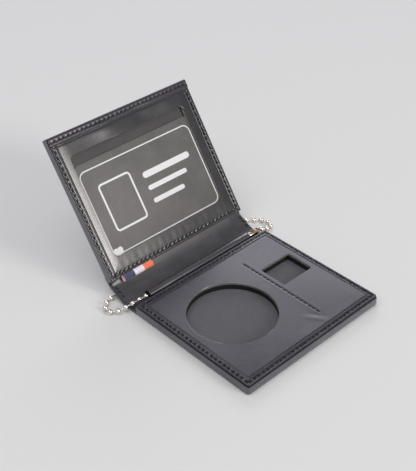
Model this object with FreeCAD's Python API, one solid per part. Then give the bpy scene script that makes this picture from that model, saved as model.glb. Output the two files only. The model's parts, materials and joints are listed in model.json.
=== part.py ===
"""Folding badge wallet: a base leaf with two badge recesses, a spine strip, a lid with a card
window, and a neck chain that runs through a leather sleeve. Millimetres, +Z up.
The origin is the centre of the base leaf's underside, +X runs along the spine, +Y to the lid."""

import math
import os

import FreeCAD
import Part
from FreeCAD import Rotation, Vector

# Leaves: leather covers with turned edges
leaf_width = 103.0
leaf_length = 87.0
corner_radius = 1.8
cover_thick = 1.1
cover_edge_chamfer = 0.8
panel_inset = 0.5
board_clearance = 0.2
overrun = 2.0
level_tolerance = 0.05
upright_share = 0.9

# Base leaf, from the underside up
base_board_thick = 0.7
recess_floor_thick = 0.4
spacer_thick = 2.8
face_thick = 1.7
face_edge_chamfer = 0.5

# Recesses in the face, one round and one oblong: places and widths as shares of the leaf's width
round_radius_share = 0.2456
round_x_share = -0.167
round_to_back = 41.1
oblong_width_share = 0.2223
oblong_x_share = 0.3107
oblong_length = 18.5
oblong_to_back = 35.4
divider_x_share = 0.166

# Pressed line round each panel, and the stitches between it and the edge
crease_inset = 4.4
crease_width = 0.6
crease_depth = 0.35
stitch_pitch = 3.2
stitch_length = 2.2
stitch_width = 0.7
stitch_height = 0.35
stitch_taper = 0.3
stitch_inset = 2.3
divider_front_gap = 13.0
divider_back_gap = 14.8

# Spine strip between its two creases, and how the wallet stands open
hinge_setback = 10.8
spine_height = 14.1
spine_angle = 26.7
lid_angle = 55.0
lining_thick = 0.8
lining_end_gap = 1.8
lining_side_gap = 0.8
crease_clearance = 0.2
base_crease_relief = 1.1
base_lining_gap = 2.6
spine_stitch_gap = 2.4

# Lid, measured up from the upper crease
lid_length = 88.5
lid_board_thick = 1.6
lid_board_gap = 2.0
lid_lining_thick = 0.4
lid_lining_gap = 1.6
pocket_depth = 0.95
film_thick = 0.2
film_margin = 3.0
frame_thick = 0.95
frame_bottom = 1.4
frame_top_inset = 0.2
window_side = 9.0
window_height = 62.1
window_bottom = 11.2
window_radius = 5.0
hem_width = 5.0
hem_height = 0.7
hem_edge_chamfer = 0.3

# Insert card
card_side_lap = 0.3
card_height = 56.5
card_thick = 0.76
card_radius = 3.2
card_bottom = 10.5

# Ribbon tab sewn in at the window panel's lower edge
ribbon_width = 21.0
ribbon_x_share = -0.3252
ribbon_thick = 0.3
ribbon_gap = 0.25
ribbon_lower_end = 9.0
ribbon_upper_gap = 1.7
ribbon_seat_gap = 0.05

# Chain sleeve: a leather tube with a sewn tail
sleeve_radius = 2.9
sleeve_bore_radius = 2.45
sleeve_to_back = 4.0
sleeve_left_gap = 12.5
sleeve_right_gap = 11.5
sleeve_tail = 3.9
sleeve_tail_thick = 0.6
sleeve_lift = 0.05

# Ball chain and its coupling
bead_radius = 1.6
bead_cap_share = 0.72
bead_sides = 8
bead_count = 128
link_radius = 0.45
link_sides = 4
link_reach_share = 0.5
coupling_radius = 2.2
coupling_bore_radius = 1.8
coupling_length = 9.0
coupling_end_thick = 0.4
coupling_hole_radius = 0.75
coupling_slot = 1.1
coupling_centre_x = 45.6
chain_clearance = 0.25
chain_to_back = 4.3
arc_share = 0.45

# The chain's route out of the sleeve's left mouth and round to the coupling:
# across, distance behind the face's back edge, height
chain_route = [
    (-39.0, 4.3, 4.25), (-47.0, 4.5, 4.25), (-53.4, 5.3, 3.7), (-58.0, 6.9, 1.85),
    (-61.6, 9.3, 1.65), (-62.5, 13.1, 1.65), (-60.2, 16.6, 1.65), (-55.6, 18.9, 1.65),
    (-48.5, 20.8, 1.65), (-40.0, 22.3, 1.65), (-28.0, 23.2, 1.65), (-11.0, 23.5, 1.65),
    (5.0, 23.2, 1.65), (17.0, 22.5, 1.65), (25.9, 22.5, 1.65), (29.9, 29.3, 1.65), (25.9, 36.1, 1.65),
    (15.0, 35.5, 1.65), (-1.0, 35.1, 1.65), (-17.0, 35.4, 1.65), (-30.9, 36.1, 1.65),
    (-34.9, 42.9, 1.65), (-30.9, 49.7, 1.65), (-19.0, 50.4, 1.65), (-3.0, 50.8, 1.65),
    (14.0, 50.8, 1.65), (30.0, 50.3, 1.65), (41.9, 49.7, 1.65), (45.9, 56.5, 1.65),
    (41.9, 63.3, 1.65), (30.0, 62.7, 1.65), (15.0, 62.4, 1.65), (1.0, 62.7, 1.65),
    (-11.9, 63.3, 1.65), (-15.9, 70.1, 1.65), (-11.9, 76.9, 1.65), (-1.0, 77.6, 1.65),
    (14.0, 78.0, 1.65), (29.0, 77.7, 1.65), (41.0, 76.3, 1.65), (50.4, 72.2, 1.65),
    (55.4, 64.5, 1.65), (56.8, 53.0, 1.65), (55.6, 41.5, 1.65), (52.6, 32.4, 1.65),
    (50.8, 26.0, 1.65), (52.3, 20.8, 1.65), (56.8, 17.6, 1.65), (61.0, 14.2, 1.65),
    (63.3, 10.2, 1.65), (63.3, 6.6, 1.65), (60.9, 4.1, 1.65), (57.2, 3.7, 2.3),
    (52.6, 4.4, 4.25),
]

# Derived places
half_width = leaf_width / 2
back_edge = leaf_length / 2
front_edge = -leaf_length / 2
round_radius = leaf_width * round_radius_share
round_x = leaf_width * round_x_share
oblong_width = leaf_width * oblong_width_share
oblong_x = leaf_width * oblong_x_share
divider_x = leaf_width * divider_x_share
ribbon_x = leaf_width * ribbon_x_share
window_width = leaf_width - 2 * window_side
card_width = window_width + 2 * card_side_lap
sleeve_left = sleeve_left_gap - half_width
sleeve_right = half_width - sleeve_right_gap
base_board_z = cover_thick
recess_floor_z = base_board_z + base_board_thick
spacer_z = recess_floor_z + recess_floor_thick
face_z = spacer_z + spacer_thick
face_top = face_z + face_thick
crease_half = cover_thick / 2
cove_radius = crease_half + crease_clearance
lower_crease = Vector(0, back_edge + hinge_setback, crease_half)
spine_turn = Rotation(Vector(1, 0, 0), spine_angle)
lid_turn = Rotation(Vector(1, 0, 0), lid_angle)
upper_crease = lower_crease + spine_turn.multVec(Vector(0, spine_height, 0))
lid_board_w = crease_half
lid_lining_w = lid_board_w + lid_board_thick
pocket_w = lid_lining_w + lid_lining_thick
film_w = pocket_w + pocket_depth
frame_w = film_w + film_thick
frame_top = frame_w + frame_thick
base_lining_top = cover_thick + lining_thick
lining_w = crease_half + lining_thick
sleeve_y = back_edge + sleeve_to_back
sleeve_z = base_lining_top + sleeve_radius + sleeve_lift
chain_y = back_edge + chain_to_back
chain_z = sleeve_z - sleeve_bore_radius + bead_radius + chain_clearance


def block(x0, x1, y0, y1, z0, z1):
    """A straight-sided block between two corners."""
    return Part.makeBox(x1 - x0, y1 - y0, z1 - z0, Vector(x0, y0, z0))


def upright_edges(shape, test):
    """The edges along Z whose middle passes a test."""
    found = []
    for edge in shape.Edges:
        low, high = edge.BoundBox.ZMin, edge.BoundBox.ZMax
        if high - low > upright_share * shape.BoundBox.ZLength and test(edge.CenterOfMass):
            found.append(edge)
    return found


def rounded_plate(x0, x1, y0, y1, z0, z1, radius, test=lambda point: True):
    """A plate with its upright corners rounded, all of them or those that pass a test."""
    plate = block(x0, x1, y0, y1, z0, z1)
    return plate.makeFillet(radius, upright_edges(plate, test))


def edges_at_height(shape, height, test=lambda point: True):
    """The flat edges of a shape at one height."""
    found = []
    for edge in shape.Edges:
        box = edge.BoundBox
        level = max(abs(box.ZMin - height), abs(box.ZMax - height))
        if level < level_tolerance and test(edge.CenterOfMass):
            found.append(edge)
    return found


def crease_ring(x_half, y0, y1, top):
    """The pressed line round a panel, as a shallow frame to cut away."""
    low = top - crease_depth
    outer = block(-x_half, x_half, y0, y1, low, top + overrun)
    inner = block(-x_half + crease_width, x_half - crease_width, y0 + crease_width, y1 - crease_width,
                  low - overrun, top + overrun + overrun)
    return outer.cut(inner)


def crease_cove(centre_y, centre_z, relief, outward):
    """What a flat leather end loses so that a round strip end turns in it."""
    barrel = Part.makeCylinder(cove_radius, leaf_width + 2 * overrun,
                               Vector(-half_width - overrun, centre_y, centre_z), Vector(1, 0, 0))
    ends = sorted((centre_y - outward * relief, centre_y + outward * cove_radius))
    upper = block(-half_width - overrun, half_width + overrun, ends[0], ends[1],
                  centre_z, centre_z + cover_thick + overrun)
    return barrel.fuse(upper)


def stitch(centre, direction, height):
    """One stitch: a flat thread with sloping ends, lying on a panel."""
    half = stitch_length / 2
    side = Vector(-direction.y, direction.x, 0) * stitch_width
    up = Vector(0, 0, stitch_height)
    start = centre - direction * half - side / 2 + Vector(0, 0, height)
    end = centre + direction * half - side / 2 + Vector(0, 0, height)
    slope = direction * stitch_taper
    outline = Part.makePolygon([start, end, end - slope + up, start + slope + up, start])
    return Part.Face(outline).extrude(side)


def stitch_row(start, end, height):
    """Stitches at an even step between two points of a panel."""
    run = Vector(*end, 0) - Vector(*start, 0)
    count = max(1, round(run.Length / stitch_pitch))
    direction = Vector(run).normalize()
    first = Vector(*start, 0)
    return [stitch(first + run * ((n + 0.5) / count), direction, height) for n in range(count)]


def on_spine(shape):
    """Places a shape drawn flat, with the lower crease at its origin, on the spine."""
    placed = shape.copy()
    placed.Placement = FreeCAD.Placement(lower_crease, spine_turn).multiply(placed.Placement)
    return placed


def on_lid(shape):
    """Places a shape drawn flat, with the upper crease at its origin, on the lid."""
    placed = shape.copy()
    placed.Placement = FreeCAD.Placement(upper_crease, lid_turn).multiply(placed.Placement)
    return placed


def recess_cuts(z0, z1):
    """The round and the oblong hole through a layer of the base."""
    round_hole = Part.makeCylinder(round_radius, z1 - z0 + 2 * overrun,
                                   Vector(round_x, back_edge - round_to_back, z0 - overrun))
    oblong_y = back_edge - oblong_to_back
    oblong_hole = block(oblong_x - oblong_width / 2, oblong_x + oblong_width / 2,
                        oblong_y - oblong_length / 2, oblong_y + oblong_length / 2,
                        z0 - overrun, z1 + overrun)
    return [round_hole, oblong_hole]


def make_base_cover():
    """The outer leather: a tray with three turned-up walls and a flat flap to the lower crease."""
    at_front = lambda point: point.y < 0
    outer = rounded_plate(-half_width, half_width, front_edge, back_edge, 0, face_z,
                          corner_radius, at_front)
    rim = edges_at_height(outer, 0, lambda point: point.y < back_edge - crease_clearance)
    outer = outer.makeChamfer(cover_edge_chamfer, rim)
    inside = rounded_plate(-half_width + cover_thick, half_width - cover_thick, front_edge + cover_thick,
                           back_edge + overrun, cover_thick, face_z + overrun,
                           corner_radius - cover_thick, at_front)
    flap = block(-half_width, half_width, back_edge, lower_crease.y, 0, cover_thick)
    tray = outer.cut(inside).fuse(flap).removeSplitter()
    return tray.cut(crease_cove(lower_crease.y, lower_crease.z, base_crease_relief, 1))


def base_layer(z0, z1):
    """A sheet that lies inside the base cover's walls."""
    inset = cover_thick + board_clearance
    return rounded_plate(-half_width + inset, half_width - inset, front_edge + inset,
                         back_edge - board_clearance, z0, z1, corner_radius - cover_thick,
                         lambda point: point.y < 0)


def make_face_panel():
    """The leather face, with both recess holes and the pressed line near its edge."""
    panel = rounded_plate(-half_width + panel_inset, half_width - panel_inset, front_edge + panel_inset,
                          back_edge, face_z, face_top, corner_radius - panel_inset)
    panel = panel.makeChamfer(face_edge_chamfer, edges_at_height(panel, face_top))
    ring = crease_ring(half_width - crease_inset, front_edge + crease_inset, back_edge - crease_inset,
                       face_top)
    return panel.cut([ring] + recess_cuts(face_z, face_top))


def leaf_corners(y0, y1):
    """The four corners of the stitch line of a leaf."""
    across = half_width - stitch_inset
    return [(-across, y0), (across, y0), (across, y1), (-across, y1)]


def make_base_stitches():
    """The thread round the face panel."""
    corners = leaf_corners(front_edge + stitch_inset, back_edge - stitch_inset)
    rows = []
    for start, end in zip(corners, corners[1:] + corners[:1]):
        rows += stitch_row(start, end, face_top)
    return Part.makeCompound(rows)


def make_divider_stitches():
    """The row of thread between the two recesses."""
    return Part.makeCompound(stitch_row((divider_x, front_edge + divider_front_gap),
                                        (divider_x, back_edge - divider_back_gap), face_top))


def make_base_lining():
    """The lining on the cover's flap, under the chain sleeve."""
    return block(-half_width + lining_side_gap, half_width - lining_side_gap, back_edge,
                 lower_crease.y - base_lining_gap, cover_thick, base_lining_top)


def make_chain_sleeve():
    """A leather tube for the chain, with the tail by which it is sewn down."""
    length = sleeve_right - sleeve_left
    start = Vector(sleeve_left, sleeve_y, sleeve_z)
    tube = Part.makeCylinder(sleeve_radius, length, start, Vector(1, 0, 0))
    tail = block(sleeve_left, sleeve_right, sleeve_y, sleeve_y + sleeve_tail,
                 base_lining_top, base_lining_top + sleeve_tail_thick)
    bore = Part.makeCylinder(sleeve_bore_radius, length + 2 * overrun,
                             start - Vector(overrun, 0, 0), Vector(1, 0, 0))
    return tube.fuse(tail).cut(bore).removeSplitter()


def make_spine_cover():
    """The leather strip between the creases, with ends rounded about the crease lines."""
    strip = block(-half_width, half_width, 0, spine_height, -crease_half, crease_half)
    for y in (0, spine_height):
        end = Part.makeCylinder(crease_half, leaf_width, Vector(-half_width, y, 0), Vector(1, 0, 0))
        strip = strip.fuse(end)
    return on_spine(strip.removeSplitter())


def make_spine_lining():
    """The lining inside the strip, short of both creases."""
    return on_spine(block(-half_width + lining_side_gap, half_width - lining_side_gap, lining_end_gap,
                          spine_height - lining_end_gap, crease_half, lining_w))


def make_spine_stitches():
    """The thread that holds the lining along the two ends of the spine."""
    across = half_width - stitch_inset
    rows = []
    for x in (-across, across):
        rows += stitch_row((x, spine_stitch_gap), (x, spine_height - spine_stitch_gap), lining_w)
    return on_spine(Part.makeCompound(rows))


def make_ribbon_tab():
    """A folded ribbon: two layers and a round fold at the lower end."""
    low = lining_w + ribbon_seat_gap
    outer_half = ribbon_thick + ribbon_gap / 2
    middle = low + outer_half
    fold_y = ribbon_lower_end + outer_half
    end_y = spine_height - ribbon_upper_gap
    left = ribbon_x - ribbon_width / 2
    right = ribbon_x + ribbon_width / 2
    along = Vector(1, 0, 0)

    def loop(half, reach):
        body = block(left, right, fold_y, end_y + reach, middle - half, middle + half)
        fold = Part.makeCylinder(half, ribbon_width, Vector(left, fold_y, middle), along)
        return body.fuse(fold)

    return on_spine(loop(outer_half, 0).cut(loop(ribbon_gap / 2, overrun)).removeSplitter())


def make_lid_cover():
    """The lid's outer leather, with turned-up walls at both sides; its upper end is the pocket's mouth."""
    outer = rounded_plate(-half_width, half_width, 0, lid_length, -crease_half, frame_w, corner_radius,
                          lambda point: point.y > lid_length / 2)
    rim = edges_at_height(outer, -crease_half, lambda point: point.y > crease_half)
    outer = outer.makeChamfer(cover_edge_chamfer, rim)
    inside = block(-half_width + cover_thick, half_width - cover_thick, -overrun, lid_length + overrun,
                   crease_half, frame_w + overrun)
    low_end = block(-half_width - overrun, half_width + overrun, -overrun, frame_bottom,
                    crease_half, frame_w + overrun)
    return on_lid(outer.cut([inside, low_end, crease_cove(0, 0, cove_radius, -1)]))


def lid_sheet(y0, z0, z1):
    """A sheet that lies between the lid cover's walls."""
    inset = cover_thick + board_clearance
    return on_lid(block(-half_width + inset, half_width - inset, y0, lid_length - board_clearance, z0, z1))


def window_cut(margin, z0, z1):
    """The window's rounded opening, grown by a margin."""
    low = frame_bottom + window_bottom
    return rounded_plate(-window_width / 2 - margin, window_width / 2 + margin, low - margin,
                         low + window_height + margin, z0, z1, window_radius)


def make_window_frame():
    """The lid's inner leather: a panel with the card window and a turned hem at the pocket's mouth."""
    top = lid_length - frame_top_inset
    across = half_width - panel_inset
    panel = rounded_plate(-across, across, frame_bottom, top, frame_w, frame_top,
                          corner_radius - panel_inset, lambda point: point.y > lid_length / 2)
    hem = rounded_plate(-across, across, top - hem_width, top, frame_top, frame_top + hem_height,
                        corner_radius - panel_inset, lambda point: point.y > top - hem_width / 2)
    hem = hem.makeChamfer(hem_edge_chamfer, edges_at_height(hem, frame_top + hem_height))
    ring_low = frame_bottom + crease_inset
    ring = crease_ring(half_width - crease_inset, ring_low, top + overrun, frame_top)
    ring = ring.cut(block(-half_width, half_width, top - hem_width, top + 2 * overrun,
                          frame_w, frame_top + 2 * overrun))
    window = window_cut(0, frame_w - overrun, frame_top + overrun)
    return on_lid(panel.cut([ring, window]).fuse(hem).removeSplitter())


def make_window_film():
    """The clear film behind the window."""
    return on_lid(window_cut(film_margin, film_w, frame_w))


def make_lid_stitches():
    """The thread along the lid's sides and the panel's lower edge."""
    corners = leaf_corners(frame_bottom + stitch_inset, lid_length - hem_width - stitch_inset)
    rows = []
    for start, end in ((corners[3], corners[0]), (corners[0], corners[1]), (corners[1], corners[2])):
        rows += stitch_row(start, end, frame_top)
    return on_lid(Part.makeCompound(rows))


def make_hem_stitches():
    """The thread along the turned hem."""
    across = half_width - stitch_inset
    row_y = lid_length - frame_top_inset - hem_width / 2
    return on_lid(Part.makeCompound(stitch_row((-across, row_y), (across, row_y), frame_top + hem_height)))


def make_insert_card():
    """A plastic card in the pocket behind the film."""
    low = frame_bottom + card_bottom
    bottom = pocket_w + (pocket_depth - card_thick) / 2
    return on_lid(rounded_plate(-card_width / 2, card_width / 2, low, low + card_height,
                                bottom, bottom + card_thick, card_radius))


def chain_path():
    """The whole chain as one line from the coupling: through the sleeve, then round by runs and arcs."""
    join = Vector(coupling_centre_x, chain_y, chain_z)
    corners = [Vector(x, back_edge + behind, z) for x, behind, z in chain_route] + [join]
    edges = [Part.LineSegment(join, corners[0]).toShape()]
    at = corners[0]
    radii = []
    for before, corner, after in zip(corners, corners[1:], corners[2:]):
        back, ahead = before - corner, after - corner
        shorter = min(back.Length, ahead.Length)
        half_turn = (math.pi - back.getAngle(ahead)) / 2
        radii.append(arc_share * shorter / math.tan(half_turn))
        back.normalize()
        ahead.normalize()
        start = corner + back * shorter * arc_share
        end = corner + ahead * shorter * arc_share
        bisector = (back + ahead).normalize()
        depth = radii[-1] / math.cos(half_turn) - radii[-1]
        edges.append(Part.LineSegment(at, start).toShape())
        edges.append(Part.Arc(start, corner + bisector * depth, end).toShape())
        at = end
    edges.append(Part.LineSegment(at, join).toShape())
    path = Part.Wire(edges)
    print("chain length", round(path.Length, 1), "smallest radius", round(min(radii), 2))
    return path


def make_bead():
    """One bead, faceted, with its holes along Z."""
    levels = [(-bead_cap_share, math.sqrt(1 - bead_cap_share ** 2)), (0, 1),
              (bead_cap_share, math.sqrt(1 - bead_cap_share ** 2))]
    turns = [2 * math.pi * n / bead_sides for n in range(bead_sides)]
    rings = [[Vector(wide * math.cos(turn), wide * math.sin(turn), level) * bead_radius for turn in turns]
             for level, wide in levels]
    faces = [Part.Face(Part.makePolygon(ring + ring[:1])) for ring in (rings[0], rings[-1])]
    for low, high in zip(rings, rings[1:]):
        for n in range(bead_sides):
            m = (n + 1) % bead_sides
            faces.append(Part.Face(Part.makePolygon([low[n], low[m], high[m], high[n], low[n]])))
    return Part.Solid(Part.Shell(faces))


def make_chain():
    """Beads at an even step along the path, the coupling midway between two, and the links."""
    centres = chain_path().discretize(Number=2 * bead_count + 1)[1::2]
    bead = make_bead()
    beads, links = [], []
    for n, centre in enumerate(centres):
        before, after = centres[n - 1], centres[(n + 1) % bead_count]
        turn = Rotation(Vector(0, 0, 1), after - before)
        placed = bead.copy()
        placed.Placement = FreeCAD.Placement(centre, turn)
        beads.append(placed)
        run = after - centre
        heading = Vector(run).normalize()
        turn = Rotation(Vector(0, 0, 1), heading)
        start = centre + heading * bead_radius * link_reach_share
        corners = [start + turn.multVec(Vector(link_radius * math.cos(2 * math.pi * k / link_sides),
                                               link_radius * math.sin(2 * math.pi * k / link_sides), 0))
                   for k in range(link_sides)]
        reach = run.Length - 2 * bead_radius * link_reach_share
        links.append(Part.Face(Part.makePolygon(corners + corners[:1])).extrude(heading * reach))
    nearest = min((centres[a] - centres[b]).Length for a in range(bead_count) for b in range(a)
                  if 3 < a - b < bead_count - 3)
    print("least gap between runs of chain", round(nearest - 2 * bead_radius, 2))
    return Part.makeCompound(beads), Part.makeCompound(links)


def make_chain_coupling():
    """The metal sleeve that joins the chain's ends: a slotted barrel with pierced ends."""
    along = Vector(1, 0, 0)
    start = Vector(coupling_centre_x - coupling_length / 2, chain_y, chain_z)
    barrel = Part.makeCylinder(coupling_radius, coupling_length, start, along)
    bore = Part.makeCylinder(coupling_bore_radius, coupling_length - 2 * coupling_end_thick,
                             start + along * coupling_end_thick, along)
    holes = Part.makeCylinder(coupling_hole_radius, coupling_length + 2 * overrun,
                              start - along * overrun, along)
    slot = block(start.x + coupling_end_thick, start.x + coupling_length - coupling_end_thick,
                 chain_y - coupling_slot / 2, chain_y + coupling_slot / 2,
                 chain_z, chain_z + coupling_radius + overrun)
    return barrel.cut([bore, holes, slot])


chain_beads, chain_links = make_chain()
nodes = {
    "base_cover": make_base_cover(),
    "base_board": base_layer(base_board_z, recess_floor_z),
    "recess_floor": base_layer(recess_floor_z, spacer_z),
    "recess_spacer": base_layer(spacer_z, face_z).cut(recess_cuts(spacer_z, face_z)),
    "face_panel": make_face_panel(),
    "base_stitches": make_base_stitches(),
    "divider_stitches": make_divider_stitches(),
    "base_lining": make_base_lining(),
    "chain_sleeve": make_chain_sleeve(),
    "chain_beads": chain_beads,
    "chain_links": chain_links,
    "chain_coupling": make_chain_coupling(),
    "spine_cover": make_spine_cover(),
    "spine_lining": make_spine_lining(),
    "spine_stitches": make_spine_stitches(),
    "ribbon_tab": make_ribbon_tab(),
    "lid_cover": make_lid_cover(),
    "lid_board": lid_sheet(lid_board_gap, lid_board_w, lid_lining_w),
    "lid_lining": lid_sheet(lid_lining_gap, lid_lining_w, pocket_w),
    "window_film": make_window_film(),
    "window_frame": make_window_frame(),
    "lid_stitches": make_lid_stitches(),
    "hem_stitches": make_hem_stitches(),
    "insert_card": make_insert_card(),
}

os.makedirs("parts", exist_ok=True)
for name, shape in nodes.items():
    shape.exportStep(f"parts/{name}.step")
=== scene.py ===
import json
import math

import bpy
from mathutils import Matrix, Vector


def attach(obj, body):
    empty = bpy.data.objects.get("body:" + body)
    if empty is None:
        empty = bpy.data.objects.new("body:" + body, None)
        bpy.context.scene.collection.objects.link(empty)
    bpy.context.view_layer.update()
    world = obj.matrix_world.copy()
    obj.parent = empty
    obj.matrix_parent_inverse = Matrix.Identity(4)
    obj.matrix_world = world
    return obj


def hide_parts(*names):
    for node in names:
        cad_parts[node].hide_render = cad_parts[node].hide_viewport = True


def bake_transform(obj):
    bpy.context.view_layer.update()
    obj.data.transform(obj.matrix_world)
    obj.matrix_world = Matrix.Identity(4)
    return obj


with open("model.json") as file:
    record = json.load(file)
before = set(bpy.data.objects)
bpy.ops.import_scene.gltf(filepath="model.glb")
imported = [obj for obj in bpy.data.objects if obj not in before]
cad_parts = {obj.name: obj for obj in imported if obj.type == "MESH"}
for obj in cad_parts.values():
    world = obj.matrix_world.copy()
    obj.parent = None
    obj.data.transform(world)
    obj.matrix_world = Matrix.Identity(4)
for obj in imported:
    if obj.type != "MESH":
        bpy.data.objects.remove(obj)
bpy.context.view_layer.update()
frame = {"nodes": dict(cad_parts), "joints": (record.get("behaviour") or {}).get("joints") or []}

# The viewpoint: a long lens above the base leaf's front left corner, looking down at the open wallet. The
# camera is rolled by half a degree, and colours are shown as they are.
camera = bpy.data.objects.new("viewpoint", bpy.data.cameras.new("viewpoint"))
bpy.context.scene.collection.objects.link(camera)
camera_back = Vector((-0.5533, -0.5870, 0.5910))
camera_roll = math.radians(-0.448)
camera.location = (-0.3033, -0.2822, 0.3540)
sight = camera_back.to_track_quat("Z", "Y").to_matrix()
camera.rotation_euler = (sight @ Matrix.Rotation(camera_roll, 3, "Z")).to_euler()
camera.data.lens = 74.53
camera.data.clip_end = 20
bpy.context.scene.camera = camera
bpy.context.scene.view_settings.view_transform = "Standard"

# Pale paper sweep that the wallet stands on, lit by a large soft box overhead, a warm card at the front right
# that the left of the window panel mirrors, and a cool panel at the back right that the face leather mirrors.
mm = 0.001


class Wire:
    """A shader socket that takes part in sums: every operator adds one Math node."""

    def __init__(self, tree, socket=None):
        self.tree = tree
        self.socket = socket

    def node(self, kind, settings=None, sockets=None, output=0):
        made = self.tree.nodes.new("ShaderNode" + kind)
        for key, value in (settings or {}).items():
            setattr(made, key, value)
        for key, value in (sockets or {}).items():
            if isinstance(value, Wire):
                self.tree.links.new(value.socket, made.inputs[key])
            else:
                made.inputs[key].default_value = value
        return Wire(self.tree, made.outputs[output] if made.outputs else None)

    def sum(self, operation, *values):
        return self.node("Math", {"operation": operation}, dict(enumerate(values)))

    def __add__(self, other):
        return self.sum("ADD", self, other)

    def __sub__(self, other):
        return self.sum("SUBTRACT", self, other)

    def __rsub__(self, other):
        return self.sum("SUBTRACT", other, self)

    def __mul__(self, other):
        return self.sum("MULTIPLY", self, other)

    def __abs__(self):
        return self.sum("ABSOLUTE", self)

    __radd__ = __add__
    __rmul__ = __mul__

    def most(self, other):
        return self.sum("MAXIMUM", self, other)

    def least(self, other):
        return self.sum("MINIMUM", self, other)

    def rise(self, low, high):
        return self.node("MapRange", {"interpolation_type": "SMOOTHSTEP"},
                         {"Value": self, "From Min": low, "From Max": high})

    def tint(self, colour, other):
        return self.node("Mix", {"data_type": "RGBA"}, {0: self, 6: colour, 7: other}, 2)

    def noise(self, scale, detail, rough=0.5):
        return self.node("TexNoise", {}, {"Vector": self, "Scale": scale, "Detail": detail,
                                          "Roughness": rough})

    def bump(self, strength=1.0):
        """A normal from a height in millimetres."""
        return self.node("Bump", {}, {"Strength": strength, "Distance": mm, "Height": self})


def new_finish(name):
    material = bpy.data.materials.new(name)
    material.use_nodes = True
    material.node_tree.nodes.clear()
    return material, Wire(material.node_tree)


def with_surface(material, shader):
    """Makes a shader the surface of its material."""
    shader.node("OutputMaterial", {}, {"Surface": shader})
    return material


def paper_finish():
    material, w = new_finish("pale_paper")
    fibre = w.node("TexCoord", output="Object").noise(900.0, 4.0)
    tone = fibre.tint((0.660, 0.666, 0.655, 1), (0.700, 0.706, 0.695, 1))
    return with_surface(material, w.node("BsdfPrincipled", {}, {
        "Base Color": tone, "Roughness": 0.9, "Specular IOR Level": 0.1}))


bpy.ops.object.select_all(action="DESELECT")
bpy.ops.mesh.primitive_plane_add(size=14, location=(0, 0, 0))
paper_sweep = bpy.context.object
paper_sweep.name = "paper_sweep"
paper_sweep.data.materials.append(paper_finish())

world = bpy.data.worlds.new("studio")
bpy.context.scene.world = world
world.use_nodes = True
world.node_tree.nodes.clear()
w = Wire(world.node_tree)
room = w.node("Background", {}, {"Color": (0.93, 0.925, 1.0, 1), "Strength": 0.40})
w.node("OutputWorld", {}, {"Surface": room})


def soft_box(name, place, target, size, power, colour):
    lamp = bpy.data.lights.new(name, "AREA")
    lamp.shape = "RECTANGLE"
    lamp.size, lamp.size_y = size
    lamp.energy = power
    lamp.color = colour
    holder = bpy.data.objects.new(name, lamp)
    bpy.context.scene.collection.objects.link(holder)
    holder.location = place
    aim = Vector(place) - Vector(target)
    holder.rotation_euler = aim.to_track_quat("Z", "Y").to_euler()


base_middle, lid_middle = (0, 0.03, 0), (-0.02, 0.09, 0.04)
soft_box("overhead_box", (-0.74, 0.06, 1.8), base_middle, (1.9, 1.9), 19.0, (1.0, 0.99, 0.97))
soft_box("warm_card", (0.56, -1.77, 0.86), lid_middle, (0.60, 0.8), 21.0, (1.0, 0.95, 0.91))
soft_box("cool_panel", (1.7, 1.87, 1.40), base_middle, (1.8, 1.1), 22.0, (0.92, 0.90, 1.0))


# Base cover: one piece of smooth black leather, turned up round the front and both sides of the base leaf.
# Its outer corners are rounded and its edges rolled. It is open at the back, where the spine goes on.
half_width, half_depth = 51.5, 43.5
cover_thick = 1.1
base_wall_top = 5.0
block_back = half_depth + 1.2
corner_radius, roll_radius, lip_radius = 1.8, 0.8, 0.3


def measured(w, space="Object"):
    """Texture coordinates in millimetres: objects are laid out in metres, and a UV unit is 100 mm."""
    scale = 1000.0 if space == "Object" else 100.0
    return w.node("VectorMath", {"operation": "SCALE"}, {0: w.node("TexCoord", output=space), "Scale": scale})


def leather(name, dark, worn, dull, grain, space="Object", coat=0.0, streak=0.0, run=(1.4, 0.035, 0.2)):
    """Dyed leather: fine pebbled grain, cloudy wear, streaks along a run and a little dust."""
    material, w = new_finish(name)
    spot = measured(w, space)
    cloud = spot.noise(0.045, 4.0, 0.6)
    pores = w.node("TexVoronoi", {}, {"Vector": spot, "Scale": 2.1, "Randomness": 1.0})
    pebble = spot.noise(0.9, 3.0)
    lines = w.node("VectorMath", {"operation": "MULTIPLY"}, {0: spot, 1: run}).noise(1.0, 3.0)
    dust = spot.noise(1.7, 2.0).rise(0.71, 0.78)
    wear = (cloud.rise(0.38, 0.72) * 0.6 + pores * 0.25 + lines * streak).least(1.0)
    tone = (dust * 0.10).tint(wear.tint(dark, worn), (0.35, 0.35, 0.36, 1))
    rough = dull + cloud * 0.14 - pores * 0.06 + lines * streak * 0.2
    height = pores * (-0.018 * grain) + pebble * (0.03 * grain) + cloud * (0.1 * grain)
    return with_surface(material, w.node("BsdfPrincipled", {}, {
        "Base Color": tone, "Roughness": rough, "Normal": height.bump(), "Specular IOR Level": 0.65,
        "Coat Weight": coat, "Coat Roughness": 0.22}))


def focus(piece):
    """Makes a piece the only one chosen, in object mode."""
    if bpy.context.mode != "OBJECT":
        bpy.ops.object.mode_set(mode="OBJECT")
    bpy.ops.object.select_all(action="DESELECT")
    piece.select_set(True)
    bpy.context.view_layer.objects.active = piece


def block(name, low, high):
    bpy.ops.object.select_all(action="DESELECT")
    centre = [(a + b) / 2 * mm for a, b in zip(low, high)]
    size = [(b - a) * mm for a, b in zip(low, high)]
    bpy.ops.mesh.primitive_cube_add(size=1, location=centre, scale=size)
    piece = bpy.context.object
    piece.name = piece.data.name = name
    bpy.ops.object.transform_apply(location=True, rotation=True, scale=True)
    return piece


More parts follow.
